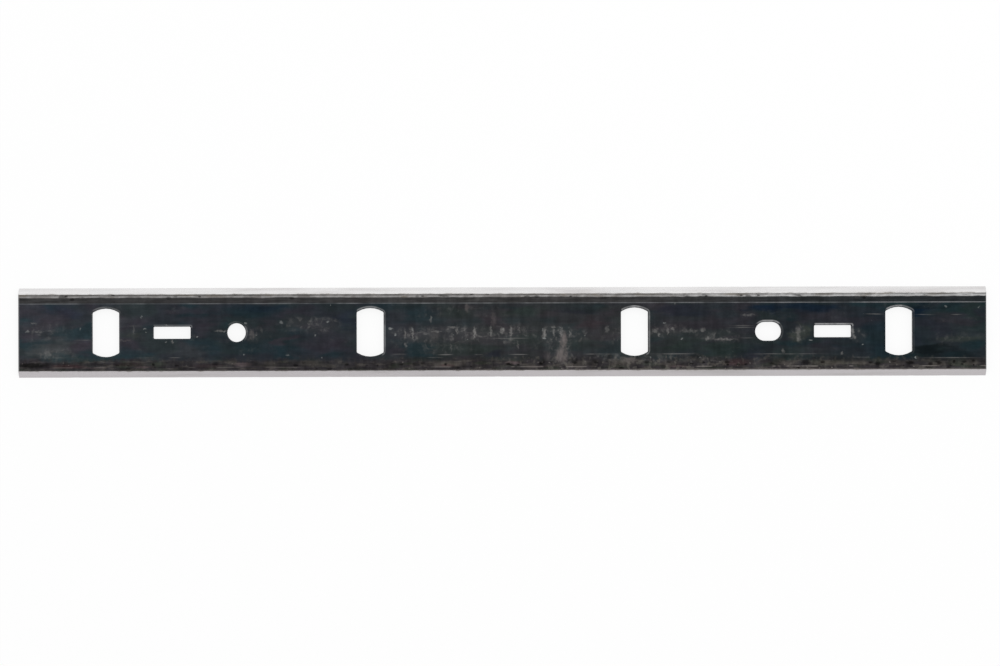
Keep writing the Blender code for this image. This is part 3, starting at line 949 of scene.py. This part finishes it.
def wearEdges(work, high):
    # nicks in the cutting edges, and a heel line that wanders up and down its bevel
    # The bare numbers in both noises only pick another stretch of noise for each edge
    shape = knifeShape
    for vert in work.verts:
        place = vert.co
        side = math.copysign(1.0, place.y)
        if high.x - abs(place.x) < shape["slice"] / 2:
            continue
        if high.y - abs(place.y) < shape["weld"]:
            wear = noise.noise(Vector((place.x / shape["nickPitch"], side * 5.0, 3.7)))
            place.y -= side * shape["nickDepth"] * max(0.0, wear - shape["nickStart"])
        elif place.z > high.z / 2 and abs(abs(place.y) - heelLine * mm) < shape["heelReach"]:
            wander = noise.noise(Vector((place.x / shape["wanderPitch"], side * 8.0, 1.3)))
            step = shape["heelWander"] * wander
            place.y += side * step * math.cos(bevelAngle)
            place.z -= step * math.sin(bevelAngle)


def markSharpEdges(work):
    # hard edges by their angle, and all along both heels, where the angle wanders about that limit
    for edge in work.edges:
        kinds = {face.material_index for face in edge.link_faces}
        edge.smooth = kinds != {0, 1} and edge.calc_face_angle() < knifeShape["sharpAngle"]
    for face in work.faces:
        face.smooth = True


def makeKnife():
    shape = knifeShape
    low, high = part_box("planer_knife")
    work = bmesh.new()
    work.from_mesh(frame["nodes"]["planer_knife"].data)
    bmesh.ops.remove_doubles(work, verts=work.verts, dist=shape["weld"])
    bmesh.ops.dissolve_limit(work, angle_limit=shape["flatAngle"], verts=work.verts, edges=work.edges)
    cuts = int((high.x - low.x) / shape["slice"])
    for i in range(1, cuts):
        everything = work.verts[:] + work.edges[:] + work.faces[:]
        at = (low.x + (high.x - low.x) * i / cuts, 0, 0)
        bmesh.ops.bisect_plane(work, geom=everything, dist=shape["weld"], plane_co=at, plane_no=(1, 0, 0))
    for face in work.faces:
        face.normal_update()
        face.material_index = finishIndex(face.normal)
    wearEdges(work, high)
    markSharpEdges(work)
    mesh = bpy.data.meshes.new("knifeBlade")
    work.to_mesh(mesh)
    work.free()
    for finish in finishes:
        mesh.materials.append(finish)
    knife = bpy.data.objects.new("knifeBlade", mesh)
    bpy.context.scene.collection.objects.link(knife)
    flat = knife.modifiers.new("keepFacesFlat", "WEIGHTED_NORMAL")
    flat.keep_sharp = True
    return knife


knife = makeKnife()
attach(knife, "root")
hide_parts("planer_knife")
print("knife made:", len(knife.data.polygons), "faces")


# A plain white table, lamps and the camera

studio = {
    "tableSize": 6.0,
    "tableDrop": 0.02 * mm,     # how far it lies under the knife, so that the two don't share a plane
    "tableColour": (0.95, 0.95, 0.95, 1.0),
    "tableRoughness": 0.9,
    "shadowShare": 0.15,        # how much of the table's own shading shows under the plain white
    "roomLight": 0.85,
    "cardPlace": Vector((-0.10, 0.95, 0.22)),
    "cardSize": (2.6, 0.42),
    "cardPower": 2.6,
    "keyPlace": Vector((0.35, 0.70, 1.00)),
    "keySize": (0.8, 0.8),
    "keyPower": 3.0,
}


def whiteWhereSeen(tree):
    # 1 for rays that come straight from the camera or off steel, 0 for the light that falls on things
    path = addNode(tree, "LightPath").outputs
    seen = maths(tree, "MAXIMUM", path["Is Camera Ray"], path["Is Glossy Ray"])
    return maths(tree, "MAXIMUM", seen, path["Is Transmission Ray"])


def makeTable():
    bpy.ops.mesh.primitive_plane_add(size=studio["tableSize"], location=(0, 0, -studio["tableDrop"]))
    table = bpy.context.object
    table.name = "whiteTable"
    material = bpy.data.materials.new("whiteTable")
    material.use_nodes = True
    tree = material.node_tree
    shader = tree.nodes["Principled BSDF"]
    shader.inputs["Base Color"].default_value = studio["tableColour"]
    shader.inputs["Roughness"].default_value = studio["tableRoughness"]
    shader.inputs["Specular IOR Level"].default_value = 0.0
    plain = addNode(tree, "Emission", {"Color": (1, 1, 1, 1), "Strength": 1.0})
    share = times(tree, whiteWhereSeen(tree), 1 - studio["shadowShare"])
    mixed = addNode(tree, "MixShader", {0: share, 1: shader.outputs[0], 2: plain.outputs[0]})
    tree.links.new(mixed.outputs[0], tree.nodes["Material Output"].inputs["Surface"])
    table.data.materials.append(material)


def makeRoom():
    world = bpy.data.worlds.new("whiteRoom")
    bpy.context.scene.world = world
    world.use_nodes = True
    tree = world.node_tree
    background = tree.nodes["Background"]
    background.inputs["Color"].default_value = (1, 1, 1, 1)
    levels = {"Value": whiteWhereSeen(tree), "To Min": studio["roomLight"], "To Max": 1.0}
    strength = addNode(tree, "MapRange", levels)
    tree.links.new(strength.outputs["Result"], background.inputs["Strength"])


def makeLamp(name, place, size, power):
    lamp = bpy.data.lights.new(name, "AREA")
    lamp.shape = "RECTANGLE"
    lamp.size, lamp.size_y = size
    lamp.energy = power
    lampObject = bpy.data.objects.new(name, lamp)
    lampObject.location = place
    lampObject.rotation_euler = (-place).to_track_quat("-Z", "Y").to_euler()
    bpy.context.scene.collection.objects.link(lampObject)


view = {
    "frameWidth": 1000,          # the photograph, in pixels
    "frameHeight": 666,
    "knifeLeft": 18.1,           # where the knife lies in it
    "knifeRight": 986.5,
    "knifeMiddleY": 331.95,
    "knifeTilt": math.radians(0.142),
    "lens": 100.0,
    "sensor": 36.0,
}


def makeCamera():
    camera = bpy.data.cameras.new("overheadCamera")
    camera.lens = view["lens"]
    camera.sensor_width = view["sensor"]
    cameraObject = bpy.data.objects.new("overheadCamera", camera)
    bpy.context.scene.collection.objects.link(cameraObject)
    pixel = (cadHigh.x - cadLow.x) / (view["knifeRight"] - view["knifeLeft"])
    distance = pixel * view["frameWidth"] * view["lens"] / view["sensor"]
    offX = (view["knifeLeft"] + view["knifeRight"]) / 2 - view["frameWidth"] / 2
    offY = view["frameHeight"] / 2 - view["knifeMiddleY"]
    cameraObject.location = (-offX * pixel, -offY * pixel, cadHigh.z + distance)
    cameraObject.rotation_euler = (0.0, 0.0, -view["knifeTilt"])
    bpy.context.scene.camera = cameraObject


makeTable()
makeRoom()
makeLamp("softCard", studio["cardPlace"], studio["cardSize"], studio["cardPower"])
makeLamp("softKey", studio["keyPlace"], studio["keySize"], studio["keyPower"])
makeCamera()
bpy.context.scene.view_settings.view_transform = "Standard"
print("studio made")
